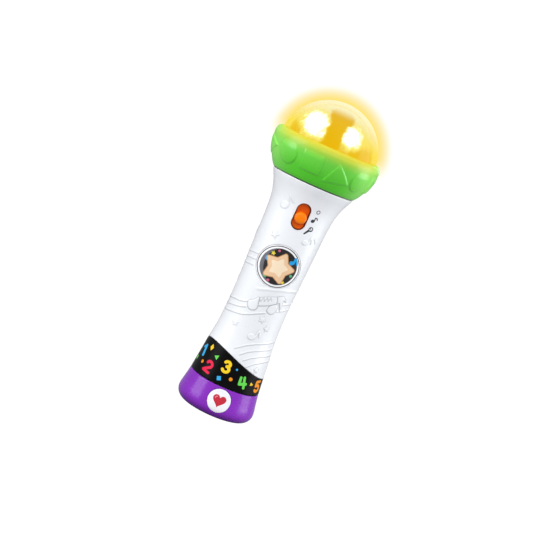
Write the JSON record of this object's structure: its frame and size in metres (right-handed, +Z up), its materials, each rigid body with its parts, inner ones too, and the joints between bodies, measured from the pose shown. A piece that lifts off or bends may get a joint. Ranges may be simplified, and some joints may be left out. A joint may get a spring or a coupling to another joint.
{
  "type": "toy microphone",
  "caption": "Toddler's hand-held toy microphone: clear amber light dome, green collar with raised shapes, white waisted handle with slide switch, number band and violet base cup.",
  "frame": {"origin": "centre of the base cup's flat underside", "axes": "+Z up along the handle to the dome, -Y is the front with the slide switch, +X is to the right seen from the front"},
  "size_m": [0.0698, 0.0698, 0.2092],
  "materials": {
    "white_shell": "gloss",
    "green_collar": "gloss",
    "amber_lens": "clear amber moulding with fine ribs",
    "diffuser": "translucent satin",
    "violet_cup": "gloss",
    "orange_slider": "gloss",
    "badge": "printed gloss",
    "printed_band": "printed gloss film",
    "printed_label": "printed gloss film",
    "screw_steel": "zinc plated",
    "contact_nickel": "nickel plated",
    "board": "solder resist",
    "black_plastic": "satin",
    "switch_case": "plated pressing",
    "cell_wrap": "printed wrap",
    "cone_paper": "coated paper",
    "cloth": "woven",
    "rubber_boot": "matt",
    "white_column": "satin",
    "led_clear": "clear epoxy",
    "wire_red": "satin",
    "wire_black": "satin"
  },
  "bodies": {
    "handle": {"base_cup": "violet_cup", "base_badge": "badge", "base_screw_front": "screw_steel", "base_screw_rear": "screw_steel", "number_band": "printed_band", "front_shell": "white_shell", "front_label": "printed_label", "rear_shell": "white_shell", "shell_screw_upper_left": "screw_steel", "shell_screw_upper_right": "screw_steel", "shell_screw_lower_left": "screw_steel", "shell_screw_lower_right": "screw_steel", "slide_switch_case": "switch_case", "main_board": "board", "main_board_screw_lower": "screw_steel", "main_board_screw_upper": "screw_steel", "chip_blob": "black_plastic", "capacitor": "black_plastic", "speaker_frame": "switch_case", "speaker_magnet": "contact_nickel", "grille_cloth": "cloth", "battery_left": "cell_wrap", "battery_right": "cell_wrap", "contact_spring_lower": "contact_nickel", "contact_plate_lower": "contact_nickel", "contact_bridge_upper": "contact_nickel", "collar_ring": "green_collar", "mic_boot": "rubber_boot", "mic_capsule": "contact_nickel", "dome_lens": "amber_lens", "light_diffuser": "diffuser", "led_board_screw_1": "screw_steel", "led_board_screw_2": "screw_steel", "led_board_screw_3": "screw_steel", "led_board": "board", "light_column": "white_column", "led_left": "led_clear", "led_lead_left": "wire_black", "led_right": "led_clear", "led_lead_right": "wire_black", "wire_battery_black": "wire_black", "wire_battery_red": "wire_red", "wire_speaker_red": "wire_red", "wire_speaker_black": "wire_black", "wire_led_red": "wire_red", "wire_led_black": "wire_black", "wire_mic": "wire_black"},
    "switch": {"switch_slider": "orange_slider", "slide_switch_actuator": "black_plastic"},
    "battery_door": {"battery_door": "white_shell", "door_clip_lower": "contact_nickel", "door_clip_upper": "contact_nickel"},
    "door_screw_lower": {"door_screw_lower": "screw_steel"},
    "door_screw_upper": {"door_screw_upper": "screw_steel"},
    "speaker_cone": {"speaker_cone": "cone_paper"}
  },
  "joints": [
    {"name": "mode_switch", "type": "slide", "parent": "handle", "child": "switch", "axis": [0, 0, 1], "range_m": [-0.0039, 0.0039]},
    {"name": "battery_door_lift", "type": "slide", "parent": "handle", "child": "battery_door", "axis": [0, 1, 0], "range_m": [0, 0.045]},
    {"name": "door_screw_lower_turn", "type": "hinge", "parent": "battery_door", "child": "door_screw_lower", "pos_m": [0, 0.012, 0.051], "axis": [0, 1, 0], "continuous": true},
    {"name": "door_screw_upper_turn", "type": "hinge", "parent": "battery_door", "child": "door_screw_upper", "pos_m": [0, 0.012, 0.111], "axis": [0, 1, 0], "continuous": true},
    {"name": "speaker_cone_travel", "type": "slide", "parent": "handle", "child": "speaker_cone", "axis": [0, 1, 0], "range_m": [-0.0003, 0.0003], "stiffness_N_per_m": 300}
  ]
}
